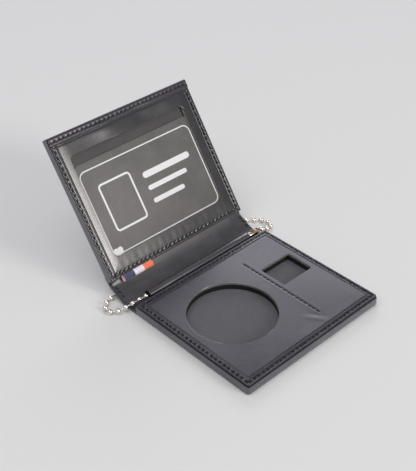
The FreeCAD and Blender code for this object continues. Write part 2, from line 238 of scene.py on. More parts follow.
def pick(piece, kind, test):
    """Goes into edit mode with the elements chosen whose middle, and direction or normal, pass a test."""
    focus(piece)
    bpy.ops.object.mode_set(mode="EDIT")
    bpy.ops.mesh.select_mode(type=kind)
    bpy.ops.mesh.select_all(action="DESELECT")
    bpy.ops.object.mode_set(mode="OBJECT")
    mesh = piece.data
    if kind == "FACE":
        for face in mesh.polygons:
            face.select = bool(test(face.center / mm, face.normal))
    else:
        for edge in mesh.edges:
            a, b = (mesh.vertices[i].co / mm for i in edge.vertices)
            edge.select = bool(test((a + b) / 2, (b - a).normalized()))
    bpy.ops.object.mode_set(mode="EDIT")


def anywhere(middle, facing):
    return True


def round_edges(piece, radius, segments, test):
    pick(piece, "EDGE", test)
    bpy.ops.mesh.bevel(offset=radius * mm, segments=segments, affect="EDGES")


def draw_out(x, y, z):
    """Extrudes the chosen faces by a step in millimetres."""
    bpy.ops.mesh.extrude_region_move(TRANSFORM_OT_translate={"value": (x * mm, y * mm, z * mm)})


def finish_piece(piece, material, slot, body, *nodes):
    """Shades a piece, gives it its material and lets it ride on its body."""
    focus(piece)
    bpy.ops.object.shade_smooth_by_angle(angle=math.radians(40))
    if piece.data.materials:
        piece.data.materials[0] = material
    else:
        piece.data.materials.append(material)
    if nodes:
        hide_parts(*nodes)
    if body:
        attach(piece, body)
    return piece


cover_leather = leather("cover_leather", (0.060, 0.058, 0.074, 1), (0.092, 0.090, 0.110, 1), 0.20, 0.4,
                        coat=0.7)
base_cover = block("base_cover_leather", (-half_width, -half_depth, 0),
                   (half_width, block_back, base_wall_top))
round_edges(base_cover, corner_radius, 6, lambda at, way: abs(way.z) > 0.9 and at.y < 0)
round_edges(base_cover, roll_radius, 4, lambda at, way: at.z < 0.01 and at.y < block_back - 0.1)
pick(base_cover, "FACE", lambda at, way: way.z > 0.9)
bpy.ops.mesh.inset(thickness=cover_thick * mm)
draw_out(0, 0, cover_thick - base_wall_top)
round_edges(base_cover, lip_radius, 2,
            lambda at, way: at.z > base_wall_top - 0.05 and at.y < block_back - 0.1)
pick(base_cover, "FACE", anywhere)
bpy.ops.mesh.bisect(plane_co=(0, half_depth * mm, 0), plane_no=(0, 1, 0), clear_outer=True, use_fill=True,
                    threshold=0.001 * mm)
finish_piece(base_cover, cover_leather, "smooth_black_leather", "base", "base_cover")


# Boards: the grey stiffening boards of base and lid, the black bonded spacer between cover and face, and the
# matte flocked sheet that shows as the floor of both recesses. They are die-cut and glued in a stack.
def fibre_board(name, dark, pale, dull, fleck, depth):
    material, w = new_finish(name)
    spot = measured(w)
    nap = spot.noise(fleck, 5.0, 0.7)
    patch = spot.noise(0.06, 3.0)
    tone = (nap.rise(0.3, 0.75) * 0.7 + patch * 0.3).tint(dark, pale)
    return with_surface(material, w.node("BsdfPrincipled", {}, {
        "Base Color": tone, "Roughness": dull - patch * 0.1, "Specular IOR Level": 0.2,
        "Normal": (nap * depth).bump()}))


flock = fibre_board("recess_flock", (0.070, 0.069, 0.079, 1), (0.155, 0.154, 0.168, 1), 0.95, 3.0, 0.05)
# The spacer is near black, darker than any leather in the wallet: its own black plus painted shade on the
# recess walls.
spacer_painted_shade = fibre_board("spacer_painted_shade", (0.008, 0.008, 0.008, 1), (0.022, 0.021, 0.02, 1), 0.98, 2.5, 0.12)
grey_board = fibre_board("grey_board", (0.16, 0.15, 0.14, 1), (0.26, 0.25, 0.235, 1), 0.95, 1.8, 0.08)
for node, material in (("recess_floor", flock), ("recess_spacer", spacer_painted_shade), ("base_board", grey_board),
                       ("lid_board", grey_board)):
    frame["nodes"][node].data.materials.clear()
    frame["nodes"][node].data.materials.append(material)


# Face panel: a thick sheet of smooth leather over the stack, with a round and an oblong recess cut through,
# rolled outer edges, a shallow channel for the thread and a pressed line inside it.
def thicken(piece, thick, offset=-1, inside=0):
    """Gives a sheet its wall, whose back and rim can take another of the sheet's materials."""
    focus(piece)
    wall = piece.modifiers.new("wall", "SOLIDIFY")
    wall.thickness = thick * mm
    wall.offset = offset
    wall.material_offset = wall.material_offset_rim = inside
    bpy.ops.object.modifier_apply(modifier="wall")


def sheet(name, columns, rows, place, thick=0):
    """A grid laid out by a rule that places each crossing, thickened away from its front if asked."""
    bpy.ops.object.select_all(action="DESELECT")
    across, along = len(columns) - 1, len(rows) - 1
    bpy.ops.mesh.primitive_grid_add(x_subdivisions=across, y_subdivisions=along, size=1, calc_uvs=True)
    piece = bpy.context.object
    piece.name = piece.data.name = name
    marks = []
    for vertex in piece.data.vertices:
        a = columns[round((vertex.co.x + 0.5) * across)]
        b = rows[round((vertex.co.y + 0.5) * along)]
        marks.append((a, b))
        vertex.co = Vector(place(a, b)) * mm
    layer = piece.data.uv_layers.active.data
    for loop in piece.data.loops:
        layer[loop.index].uv = [value / 100 for value in marks[loop.vertex_index]]
    if thick:
        thicken(piece, thick)
    return piece


def spaced(low, high, count):
    return [low + (high - low) * n / count for n in range(count + 1)]


def lines_between(low, high, edges, step):
    """Grid lines close together near both edges and evenly spaced between."""
    inner = high - low - 2 * edges[-1]
    middle = spaced(low + edges[-1], high - edges[-1], max(1, round(inner / step)))
    return [low + d for d in edges] + middle[1:-1] + [high - d for d in reversed(edges)]


def hill(value, centre, width):
    return math.exp(-((value - centre) / width) ** 2)


def clamp(value):
    return min(1, max(0, value))


def rolled(depth, radius):
    """How far a rolled edge falls at a depth in from the border."""
    return radius - math.sqrt(max(0, radius ** 2 - (radius - min(depth, radius)) ** 2))


def round_corner(x, y, half_x, low, high, radius):
    """Draws the square corners of a grid in to a radius."""
    a, b = abs(x) - half_x + radius, max(y - high + radius, low + radius - y)
    if a <= 0 or b <= 0:
        return x, y
    pull = max(a, b) / math.hypot(a, b)
    x = math.copysign(half_x - radius + a * pull, x)
    return x, (high - radius + b * pull if y > (low + high) / 2 else low + radius - b * pull)


def cutter_mouth(cutter, top, radius):
    """Opens a cutter's top end out in a quarter round, so that the edge it cuts is rounded over."""
    for step in range(3):
        pick(cutter, "FACE", lambda at, way: way.z > 0.9 and at.z > top - 0.05)
        turns = [math.radians(30 * k) for k in (step, step + 1)]
        rise = radius * (math.sin(turns[1]) - math.sin(turns[0]))
        grow = radius * (math.cos(turns[0]) - math.cos(turns[1]))
        draw_out(0, 0, rise)
        spread = [1 + 2 * grow * mm / across for across in cutter.dimensions[:2]]
        bpy.ops.transform.resize(value=(*spread, 1))
        top += rise
    pick(cutter, "FACE", lambda at, way: way.z > 0.9 and at.z > top - 0.05)
    draw_out(0, 0, 3)
    bpy.ops.object.mode_set(mode="OBJECT")
    # The rounded faces of the mouth take the second material, the painted highlight of the rim.
    for face in cutter.data.polygons:
        face.material_index = 0.1 < abs(face.normal.z) < 0.99


def cut_out(piece, cutter, *edges):
    """Cuts a hole through a piece; the cut takes the cutter's materials for its wall and its rim."""
    for edge in edges:
        cutter.data.materials.append(edge)
    bpy.context.view_layer.objects.active = piece
    hole = piece.modifiers.new("hole", "BOOLEAN")
    hole.operation = "DIFFERENCE"
    hole.solver = "EXACT"
    hole.material_mode = "TRANSFER"
    hole.object = cutter
    bpy.ops.object.modifier_apply(modifier="hole")
    bpy.data.objects.remove(cutter)


def rod(name, radius, length, sides, centre=(0, 0, 0), turn=(0, 0, 0)):
    bpy.ops.object.select_all(action="DESELECT")
    bpy.ops.mesh.primitive_cylinder_add(vertices=sides, radius=radius * mm, depth=length * mm, rotation=turn,
                                        location=Vector(centre) * mm)
    piece = bpy.context.object
    piece.name = piece.data.name = name
    bpy.ops.object.transform_apply(location=True, rotation=True, scale=True)
    return piece


raw_edge = fibre_board("raw_edge", (0.03, 0.029, 0.03, 1), (0.26, 0.255, 0.25, 1), 0.95, 1.6, 0.14)
# The lip material is lighter than the face leather: a painted highlight along the rounded rim of each cut,
# over its real gloss coat.
rim_painted_highlight = leather("rim_painted_highlight", (0.10, 0.099, 0.105, 1), (0.18, 0.178, 0.185, 1), 0.18, 0.2, coat=1.0)
smooth_leather = leather("smooth_leather", (0.020, 0.019, 0.026, 1), (0.038, 0.036, 0.047, 1), 0.26, 0.5)
edge_steps = [0, 0.08, 0.25, 0.5, 0.8, 1.1, 1.4, 1.7, 2.0, 2.3, 2.6, 3.0, 3.3, 3.5, 3.7, 3.9, 4.1, 4.3, 4.5,
              4.8, 5.4]
face_top, face_thick, face_inset = 6.7, 1.5, 0.5
face_half, face_front = half_width - face_inset, face_inset - half_depth
seam_inset, line_inset = 2.3, 4.4
seam_x, seam_y = half_width - seam_inset, half_depth - seam_inset
stitch_step = 3.2
divider_x, divider_front, divider_back = 17.1, -30.5, 28.7
round_x, round_y, round_radius = -17.2, 2.4, 25.3
oblong_low, oblong_high = (20.55, -1.15), (43.45, 17.35)
face_mouth = 0.32
cutter_floor = 2.5


def stitch_count(length):
    """How many stitches a seam takes, half a stitch counting as one."""
    return max(1, math.floor(length / stitch_step + 0.51))


def needle_beat(along, length, shift=0.0):
    """1 at each needle hole of a seam and 0 midway between."""
    return 0.5 + 0.5 * math.cos(2 * math.pi * (along / (length / stitch_count(length)) + shift))


def drawn_down(along, depth, length, slant=0.3):
    """How far leather is drawn down along a seam, most at the needle holes, on a slant."""
    beat = needle_beat(along, length, slant * (depth - seam_inset))
    return 0.30 * hill(depth, seam_inset, 1.0) + 0.85 * beat * beat * hill(depth, seam_inset, 0.8)


def face_height(x, y):
    side, front, back = half_width - abs(x), y + half_depth, half_depth - y
    depth = min(side, front, back)
    fall = rolled(min(side - face_inset, front - face_inset, back), 0.7)
    fall += 0.36 * hill(depth, line_inset, 0.28)
    along, length = (y + seam_y, 2 * seam_y) if side == depth else (x + seam_x, 2 * seam_x)
    fall += drawn_down(along, depth, length) * (0.68 - 0.16 * (x / half_width + y / half_depth))
    beat = needle_beat(y - divider_front, divider_back - divider_front)
    row = (0.10 + 0.14 * beat) * hill(x, divider_x, 0.5) - 0.03 * hill(abs(x - divider_x), 1.4, 0.7)
    row *= clamp(y - divider_front + 0.5) * clamp(divider_back + 0.5 - y)
    aside, ahead = x - 11.4, y + 32
    across, down = aside * 0.83 + ahead * 0.55, aside * 0.55 - ahead * 0.83
    crease = (0.09 * hill(across, 0, 1.9) - 0.07 * hill(across, 2.8, 1.9)) * hill(down, 0, 5.5)
    soft = 0.06 * math.sin(x / 9 + 1.3) * math.sin(y / 12) + 0.04 * math.sin((x + y) / 17)
    return face_top - fall - row + crease + soft * clamp((depth - line_inset) / 6)


def face_place(x, y):
    return (*round_corner(x, y, face_half, face_front, half_depth, 1.3), face_height(x, y))


face_panel = sheet("face_panel_leather", lines_between(-face_half, face_half, edge_steps, 0.65),
                   lines_between(face_front, half_depth, edge_steps, 0.65), face_place, face_thick)
face_panel.data.materials.append(smooth_leather)
mouth_base = face_top - face_mouth
round_cutter = rod("round_cutter", round_radius, mouth_base - cutter_floor, 128,
                   (round_x, round_y, (mouth_base + cutter_floor) / 2))
oblong_cutter = block("oblong_cutter", (*oblong_low, cutter_floor), (*oblong_high, mouth_base))
round_edges(oblong_cutter, 0.7, 4, lambda at, way: abs(way.z) > 0.9)
for cutter in (round_cutter, oblong_cutter):
    cutter_mouth(cutter, mouth_base, face_mouth)
    cut_out(face_panel, cutter, raw_edge, rim_painted_highlight)
finish_piece(face_panel, smooth_leather, "smooth_black_leather", "base", "face_panel")


# Thread: waxed black stitches, drawn down into the leather at both ends. One stitch is modelled and laid
# along each seam at an even step, a little askew as a lock stitch lies.
def thread_finish():
    material, w = new_finish("waxed_thread")
    spot = measured(w)
    ply = w.node("TexWave", {"wave_type": "BANDS", "bands_direction": "DIAGONAL"},
                 {"Vector": spot, "Scale": 1.6, "Distortion": 1.0})
    fuzz = spot.noise(3.0, 3.0)
    tone = (ply * 0.6 + fuzz * 0.4).tint((0.007, 0.007, 0.008, 1), (0.026, 0.026, 0.030, 1))
    height = ply * 0.06 + fuzz * 0.03
    return with_surface(material, w.node("BsdfPrincipled", {}, {
        "Base Color": tone, "Roughness": 0.5 + fuzz * 0.2, "Normal": height.bump(0.8),
        "Specular IOR Level": 0.2}))


thread_radius, thread_length, thread_flat = 0.48, 1.0, 0.85
waxed_thread = thread_finish()


def one_stitch():
    """A short rod whose ends taper and dip, flattened."""
    made = rod("stitch", thread_radius, thread_length, 8, turn=(0, math.pi / 2, 0))
    for side in (-1, 1):
        for reach, shrink, dip in ((0.4, 0.82, 0.07), (0.3, 0.6, 0.16)):
            tip = max(side * v.co.x for v in made.data.vertices) / mm
            pick(made, "FACE", lambda at, way: side * way.x > 0.9 and side * at.x > tip - 0.05)
            draw_out(side * reach, 0, -dip)
            bpy.ops.transform.resize(value=(1, shrink, shrink))
    bpy.ops.object.mode_set(mode="OBJECT")
    for vertex in made.data.vertices:
        vertex.co.z *= thread_flat
    return made


def seam(start, end, height, skew=0.34):
    """Where the stitches of one straight seam lie, at an even step with a little play."""
    start, run = Vector(start), Vector(end) - Vector(start)
    count = stitch_count(run.length)
    heading = math.atan2(run.y, run.x) + skew
    places = []
    for n in range(count):
        spot = start + run * ((n + 0.5 + 0.07 * math.sin(n * 2.3)) / count)
        turn = heading + 0.10 * math.sin(n * 1.7) + 0.06 * math.sin(n * 0.61)
        places.append(Matrix.Translation(Vector((*spot, height)) * mm) @ Matrix.Rotation(turn, 4, "Z"))
    return places


def lay_copies(pattern, name, places):
    """Copies a pattern to each place and joins the copies into one piece."""
    copies = []
    for place in places:
        copy = pattern.copy()
        copy.data = pattern.data.copy()
        bpy.context.scene.collection.objects.link(copy)
        copy.data.transform(place)
        copies.append(copy)
    bpy.ops.object.select_all(action="DESELECT")
    for copy in copies:
        copy.select_set(True)
    bpy.context.view_layer.objects.active = copies[0]
    bpy.ops.object.join()
    copies[0].name = copies[0].data.name = name
    return copies[0]


def sew(name, body, places, surface, node, fine=1.0):
    """Lays the stitch at each place on a surface, in finer thread if asked."""
    thin = Matrix.Diagonal((1, fine, fine, 1))
    row = lay_copies(stitch_pattern, name, [surface @ place @ thin for place in places])
    return finish_piece(row, waxed_thread, "thread_black", body, node)


stitch_pattern = one_stitch()
flat = Matrix.Identity(4)
around = [(-seam_x, -seam_y), (seam_x, -seam_y), (seam_x, seam_y), (-seam_x, seam_y)]
base_places = []
for start, end, skew in zip(around, around[1:] + around[:1], (-0.42, 0.34, 0.34, 0.42)):
    base_places += seam(start, end, 6.5, skew)
sew("base_thread", "base", base_places, flat, "base_stitches")
divider_places = seam((divider_x, divider_front), (divider_x, divider_back), 6.66, 0.24)
sew("divider_thread", "base", divider_places, flat, "divider_stitches", 0.72)


# Chain sleeve: glossy black leather rolled into a tube along the fold and sewn down by its tail. The neck
# chain runs through it; the mouth at each end is a little flattened.
sleeve_leather = leather("sleeve_leather", (0.024, 0.023, 0.028, 1), (0.050, 0.049, 0.058, 1), 0.20, 0.25,
                         "UV", coat=0.4, streak=0.4, run=(0.04, 1.2, 0.2))
sleeve_left, sleeve_right = -39.0, 40.0
sleeve_y, sleeve_z, sleeve_radius = 47.5, 4.85, 2.6


def sleeve_point(x, turn):
    """Round the tube from the tail's free edge, over the top, and back under to the tail."""
    if turn < 1:
        return x, 51.4 - 1.4 * turn, 2.16 + 0.2 * turn + 0.04 * math.sin(x / 5)
    angle = math.radians(-30 + (turn - 1) * 250)
    slack = 0.30 * hill(x, -37, 8) + 0.35 * hill(x, 38, 7)
    slack += 0.10 * math.sin(x / 6.0) + 0.05 * math.sin(x / 2.7)
    ridge = 0.08 * hill(angle, 1.9, 0.16) - 0.14 * hill(angle, 1.35, 0.35)
    radius = sleeve_radius + ridge - slack * max(0, math.sin(angle)) * 0.8
    return x, sleeve_y + radius * math.cos(angle), sleeve_z + radius * math.sin(angle)


chain_sleeve = sheet("chain_sleeve_leather", spaced(sleeve_left, sleeve_right, 60),
                     [0, 0.5, 0.9] + spaced(1, 2, 40), sleeve_point)
thicken(chain_sleeve, 0.4, offset=0)
finish_piece(chain_sleeve, sleeve_leather, "glossy_black_leather", "base", "chain_sleeve")


# Neck chain: nickel beads on short links, from the coupling through the sleeve, out at its left mouth in a
# small loop, under the lid's heel, put away in runs behind the lid, and back in a loop at the right.
def nickel_finish(name, dark, pale):
    material, w = new_finish(name)
    spot = measured(w)
    smear = spot.noise(0.8, 3.0)
    tone = smear.rise(0.3, 0.75).tint(dark, pale)
    return with_surface(material, w.node("BsdfPrincipled", {}, {
        "Base Color": tone, "Metallic": 1.0, "Normal": (spot.noise(6.0, 2.0) * 0.03).bump(0.5),
        "Roughness": 0.12 + smear * 0.16}))


polished_nickel = nickel_finish("polished_nickel", (0.80, 0.74, 0.66, 1), (0.92, 0.88, 0.82, 1))
brassy_nickel = nickel_finish("brassy_nickel", (0.42, 0.33, 0.23, 1), (0.78, 0.67, 0.52, 1))
bead_radius, link_radius, bead_count = 1.6, 0.42, 128
coupling_x, coupling_y, coupling_z = 45.6, half_depth + 4.3, 4.25
coupling_radius, coupling_half = 2.05, 4.5
chain_points = [
    (45.6, 4.3, 4.25), (-39.0, 4.3, 4.25), (-47.0, 4.5, 4.25), (-53.4, 5.3, 3.7), (-58.0, 6.9, 1.85),
    (-61.6, 9.3, 1.65), (-62.5, 13.1, 1.65), (-60.2, 16.6, 1.65), (-55.6, 18.9, 1.65),
    (-48.5, 20.8, 1.65), (-40.0, 22.3, 1.65), (-28.0, 23.2, 1.65), (-11.0, 23.5, 1.65),
    (5.0, 23.2, 1.65), (17.0, 22.5, 1.65), (25.9, 22.5, 1.65), (29.9, 29.3, 1.65), (25.9, 36.1, 1.65),
    (15.0, 35.5, 1.65), (-1.0, 35.1, 1.65), (-17.0, 35.4, 1.65), (-30.9, 36.1, 1.65),
    (-34.9, 42.9, 1.65), (-30.9, 49.7, 1.65), (-19.0, 50.4, 1.65), (-3.0, 50.8, 1.65),
    (14.0, 50.8, 1.65), (30.0, 50.3, 1.65), (41.9, 49.7, 1.65), (45.9, 56.5, 1.65),
    (41.9, 63.3, 1.65), (30.0, 62.7, 1.65), (15.0, 62.4, 1.65), (1.0, 62.7, 1.65),
    (-11.9, 63.3, 1.65), (-15.9, 70.1, 1.65), (-11.9, 76.9, 1.65), (-1.0, 77.6, 1.65),
    (14.0, 78.0, 1.65), (29.0, 77.7, 1.65), (41.0, 76.3, 1.65), (50.4, 72.2, 1.65),
    (55.4, 64.5, 1.65), (56.8, 53.0, 1.65), (55.6, 41.5, 1.65), (52.6, 32.4, 1.65),
    (50.8, 26.0, 1.65), (52.3, 20.8, 1.65), (56.8, 17.6, 1.65), (61.0, 14.2, 1.65),
    (63.3, 10.2, 1.65), (63.3, 6.6, 1.65), (60.9, 4.1, 1.65), (57.2, 3.7, 2.3),
    (52.6, 4.4, 4.25), (45.6, 4.3, 4.25),
]
line = bpy.data.curves.new("chain_line", "CURVE")
line.dimensions = "3D"
line.resolution_u = 24
spline = line.splines.new("NURBS")
spline.points.add(len(chain_points) - 1)
for point, (x, behind, z) in zip(spline.points, chain_points):
    point.co = (x * mm, (half_depth + behind) * mm, z * mm, 1)
spline.order_u = 3
spline.use_endpoint_u = True
line_holder = bpy.data.objects.new("chain_line", line)
traced = [vertex.co.copy() for vertex in bpy.data.meshes.new_from_object(line_holder).vertices]
bpy.data.objects.remove(line_holder)
travel = [0.0]
for a, b in zip(traced, traced[1:]):
    travel.append(travel[-1] + (b - a).length)
bead_step = travel[-1] / bead_count


def along_chain(distance):
    distance = min(max(distance, 0), travel[-1] - 1e-9)
    n = next(i for i in range(1, len(travel)) if travel[i] > distance)
    share = (distance - travel[n - 1]) / (travel[n] - travel[n - 1])
    return traced[n - 1].lerp(traced[n], share)


def one_bead():
    """A bead, dented at its hole, with the link to the next."""
    bpy.ops.object.select_all(action="DESELECT")
    bpy.ops.mesh.primitive_uv_sphere_add(segments=12, ring_count=8, radius=bead_radius * mm)
    made = bpy.context.object
    pick(made, "FACE", lambda at, way: at.z > 1.35)
    bpy.ops.mesh.inset(thickness=0.1 * mm)
    bpy.ops.transform.translate(value=(0, 0, -0.12 * mm))
    bpy.ops.object.mode_set(mode="OBJECT")
    rod("link", link_radius, bead_step / mm - bead_radius, 6, (0, 0, bead_step / mm / 2))
    made.select_set(True)
    bpy.context.view_layer.objects.active = made
    bpy.ops.object.join()
    bpy.ops.object.shade_smooth()
    made.data.materials.append(polished_nickel)
    return made


def string_beads(name, numbers, *nodes):
    """Lays beads along the chain, each turned towards the next."""
    places = []
    for n in numbers:
        here = along_chain((n + 0.5) * bead_step)
        ahead = along_chain(((n + 1) % bead_count + 0.5) * bead_step)
        turn = (ahead - here).to_track_quat("Z", "Y").to_matrix().to_4x4()
        places.append(Matrix.Translation(here) @ turn)
    made = lay_copies(bead_pattern, name, places)
    if nodes:
        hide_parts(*nodes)
    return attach(made, "base")


bead_pattern = one_bead()
mouth_reach = (coupling_x - sleeve_left) * mm
inside_count = int(mouth_reach / bead_step)
string_beads("chain_in_sleeve", range(inside_count))
neck_chain = string_beads("neck_chain", range(inside_count, bead_count), "chain_beads", "chain_links")
bpy.data.objects.remove(bead_pattern)
coupling = rod("chain_coupling_clip", coupling_radius, 2 * coupling_half, 24,
               (coupling_x, coupling_y, coupling_z), (0, math.pi / 2, 0))
for side in (-1, 1):
    pick(coupling, "FACE",
         lambda at, way: side * way.x > 0.9 and abs(at.x - coupling_x) > coupling_half - 0.5)
    bpy.ops.mesh.inset(thickness=1.2 * mm)
    draw_out(-side * 0.5, 0, 0)
    round_edges(coupling, 0.45, 3, lambda at, way: abs(side * (at.x - coupling_x) - coupling_half) < 0.01)
bpy.ops.object.mode_set(mode="OBJECT")
coupling_slot = block("coupling_slot", (coupling_x - 3.6, coupling_y - 0.55, 4.6),
                      (coupling_x + 3.6, coupling_y + 0.55, 7.0))
cut_out(coupling, coupling_slot)
finish_piece(coupling, brassy_nickel, "nickel", "base", "chain_coupling")


# Spine: the outer leather goes on round the fold as a soft bend, and a glossy lining covers it inside, full
# in the middle and drawn down to the cover at both ends where it is sewn. Each is parted halfway up.
lining_leather = leather("lining_leather", (0.014, 0.014, 0.016, 1), (0.05, 0.049, 0.052, 1), 0.30, 0.5, "UV",
                         coat=0.3, streak=0.6, run=(0.03, 1.1, 0.2))
lower_fold, upper_fold = (Vector(j["pos_m"]) / mm for j in frame["joints"][:2])
spine_lean, lid_lean = math.radians(26.7), math.radians(55)
spine_height, bend_reach = 14.1, 4.2
cover_half = cover_thick / 2
lid_start = 5.0
lining_half, lining_step = 50.7, 0.65


def leaning(fold, lean, up, out):
    """A place in a section that leans back from a fold: up along it, and out towards the inside."""
    return (fold.y + up * math.cos(lean) - out * math.sin(lean),
            fold.z + up * math.sin(lean) + out * math.cos(lean))


def on_spine(up, out):
    return leaning(lower_fold, spine_lean, up, out)


def on_lid(up, out):
    return leaning(upper_fold, lid_lean, up, out)


def bend(start, corner, end, count):
    """A soft turn between two straight stretches."""
    points = []
    for n in range(count + 1):
        t = n / count
        points.append(tuple((1 - t) ** 2 * a + 2 * t * (1 - t) * b + t * t * c
                            for a, b, c in zip(start, corner, end)))
    return points


def even(points, count):
    """The places along a line, as (y, z), at even steps."""
    reach = [0.0]
    for a, b in zip(points, points[1:]):
        reach.append(reach[-1] + math.dist(a, b))
    spread = []
    for k in range(count + 1):
        want = reach[-1] * k / count
        n = next((i for i in range(1, len(reach)) if reach[i] >= want), len(reach) - 1)
        t = (want - reach[n - 1]) / (reach[n] - reach[n - 1])
        spread.append(tuple(a + (b - a) * t for a, b in zip(points[n - 1], points[n])))
    return spread


folds = {"lower": (("base", "spine"), lower_fold, spine_lean / 2),
         "upper": (("spine", "lid"), upper_fold, (spine_lean + lid_lean) / 2)}


def fold_with(piece, fold, half=3.6):
    """Looks up a fold's hinge and a short stretch on either side of it, then only bakes the piece's placement
    into its mesh.
    """
    bodies, hinge, lean = folds[fold]
    offset = Vector((0, math.cos(lean), math.sin(lean))) * half
    (hinge - offset) * mm
    (hinge + offset) * mm
    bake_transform(piece)


spine_middle = on_spine(spine_height / 2, cover_half)
cover_lower = [(half_depth, cover_thick)]
cover_lower += bend((lower_fold.y - bend_reach, cover_thick), on_spine(0, cover_half),
                    on_spine(bend_reach, cover_half), 10)
cover_lower.append(spine_middle)
cover_upper = [spine_middle]
cover_upper += bend(on_spine(spine_height - bend_reach, cover_half), on_lid(0, cover_half),
                    on_lid(bend_reach, cover_half), 10)
cover_upper.append(on_lid(lid_start, cover_half))
strip_columns = lines_between(-half_width, half_width, [0, 0.1, 0.4, 1.5], 5.0)
for fold, profile, nodes in (("lower", cover_lower, ("spine_cover",)), ("upper", cover_upper, ())):
    rows = even(profile, 24)
    strip = sheet("spine_leather_" + fold, strip_columns, range(25), lambda x, n: (x, *rows[n]), cover_thick)
    finish_piece(strip, cover_leather, "smooth_black_leather", None, *nodes)
    fold_with(strip, fold)

lining_full = even(
    [(43.7, 1.95), (49.8, 1.95)] + bend((50.4, 1.95), on_spine(0.5, 1.55), on_spine(4.2, 1.45), 8)
    + [on_spine(6.8, 1.45)] + bend(on_spine(8.0, 1.6), on_spine(11.2, 2.3), on_lid(2.4, 3.5), 8)
    + [on_lid(6.0, 3.5)], 48)
lining_sewn = even(
    [(43.7, 1.95), (49.6, 1.95)] + bend((50.2, 1.95), on_spine(0.3, 1.4), on_spine(4.2, 1.4), 8)
    + [on_spine(9.6, 1.4)] + bend(on_spine(10.2, 1.4), on_lid(-0.6, 1.6), on_lid(2.4, 3.4), 8)
    + [on_lid(6.0, 3.5)], 48)


def lining_place(x, n):
    drawn = clamp((abs(x) - 43.5) / 6.5)
    drawn = drawn * drawn * (3 - 2 * drawn)
    full, sewn = lining_full[n], lining_sewn[n]
    return (x * lining_half / half_width, *(a + (b - a) * drawn for a, b in zip(full, sewn)))


for fold, first, nodes in (("lower", 0, ("base_lining", "spine_lining")), ("upper", 24, ())):
    lining = sheet("lining_" + fold, strip_columns, range(first, first + 25), lining_place, 0.7)
    for loop in lining.data.uv_layers.active.data:
        loop.uv[1] *= lining_step
    finish_piece(lining, lining_leather, "lining_black", None, *nodes)
    fold_with(lining, fold)

spine_surface = Matrix.Translation(lower_fold * mm) @ Matrix.Rotation(spine_lean, 4, "X")
spine_places = []
for x in (-seam_x, seam_x):
    spine_places += seam((x, 2.4), (x, 11.7), 1.45)
sew("spine_thread", "spine", spine_places, spine_surface, "spine_stitches")


# Lid cover: smooth leather behind the lid, turned up along both sides to the window panel; its upper end is
# the mouth of the card pocket. It meets the spine leather just above the upper fold.
lid_end = 88.5
lid_wall_x, lid_wall_rise, lid_wall_foot = 50.8, 3.75, 3.6
lid_surface = Matrix.Translation(upper_fold * mm) @ Matrix.Rotation(lid_lean, 4, "X")
lid_cover = block("lid_cover_leather", (-half_width, lid_start, -cover_half),
                  (half_width, lid_end, cover_half))
for x in (-lid_wall_x, lid_wall_x):
    pick(lid_cover, "FACE", anywhere)
    bpy.ops.mesh.bisect(plane_co=(x * mm, 0, 0), plane_no=(1, 0, 0))
pick(lid_cover, "FACE", lambda at, way: way.z > 0.9 and abs(at.x) > lid_wall_x)
draw_out(0, 0, lid_wall_rise)
pick(lid_cover, "FACE", lambda at, way: way.y < -0.9 and at.z > cover_half + 0.05)
draw_out(0, -lid_wall_foot, 0)
round_edges(lid_cover, 0.6, 4, lambda at, way: abs(way.z) > 0.9 and at.y > lid_end - 0.1
            and abs(at.x) > half_width - 0.1)
round_edges(lid_cover, roll_radius, 4, lambda at, way: at.z < 0.05 - cover_half and abs(way.z) < 0.01
            and at.y > lid_start + 0.1 and (abs(at.x) > half_width - 0.05 or at.y > lid_end - 0.05
                                            or abs(at.x) > half_width - 1 and at.y > lid_end - 1))
round_edges(lid_cover, lip_radius, 2,
            lambda at, way: at.z > cover_half + lid_wall_rise - 0.1 and abs(way.z) < 0.01)
pick(lid_cover, "FACE", anywhere)
bpy.ops.mesh.remove_doubles(threshold=0.01 * mm)
bpy.ops.mesh.dissolve_degenerate(threshold=0.01 * mm)
bpy.ops.object.mode_set(mode="OBJECT")
lid_cover.data.transform(lid_surface)
finish_piece(lid_cover, cover_leather, "smooth_black_leather", "lid", "lid_cover")


# Pocket: a thin lining of dull dark leather, laid over the lid's board with a slight wave. It is glued down,
# and the card slides on it.
pocket_leather = leather("pocket_leather", (0.032, 0.031, 0.031, 1), (0.056, 0.054, 0.054, 1), 0.5, 0.4)


def pocket_place(x, up):
    return (x, *on_lid(up, 2.52 + 0.02 * math.sin(x / 7) * math.sin(up / 9)))


pocket_lining = sheet("pocket_lining", spaced(-50.2, 50.2, 16), spaced(1.7, 88.1, 16), pocket_place, 0.36)
finish_piece(pocket_lining, pocket_leather, "lining_black", "lid", "lid_lining")


# Insert card: a plastic card printed dark warm grey, with a white keyline near its edge, a plain picture box
# and bars in the same white, fine scratches, and a chipped lower left corner. It slides in the pocket.
card_low, card_high = (-42.8, 11.9, 2.645), (42.8, 68.4, 3.405)


def across_and_up(place):
    return (place.node("SeparateXYZ", {}, {0: place}, axis) for axis in "XY")


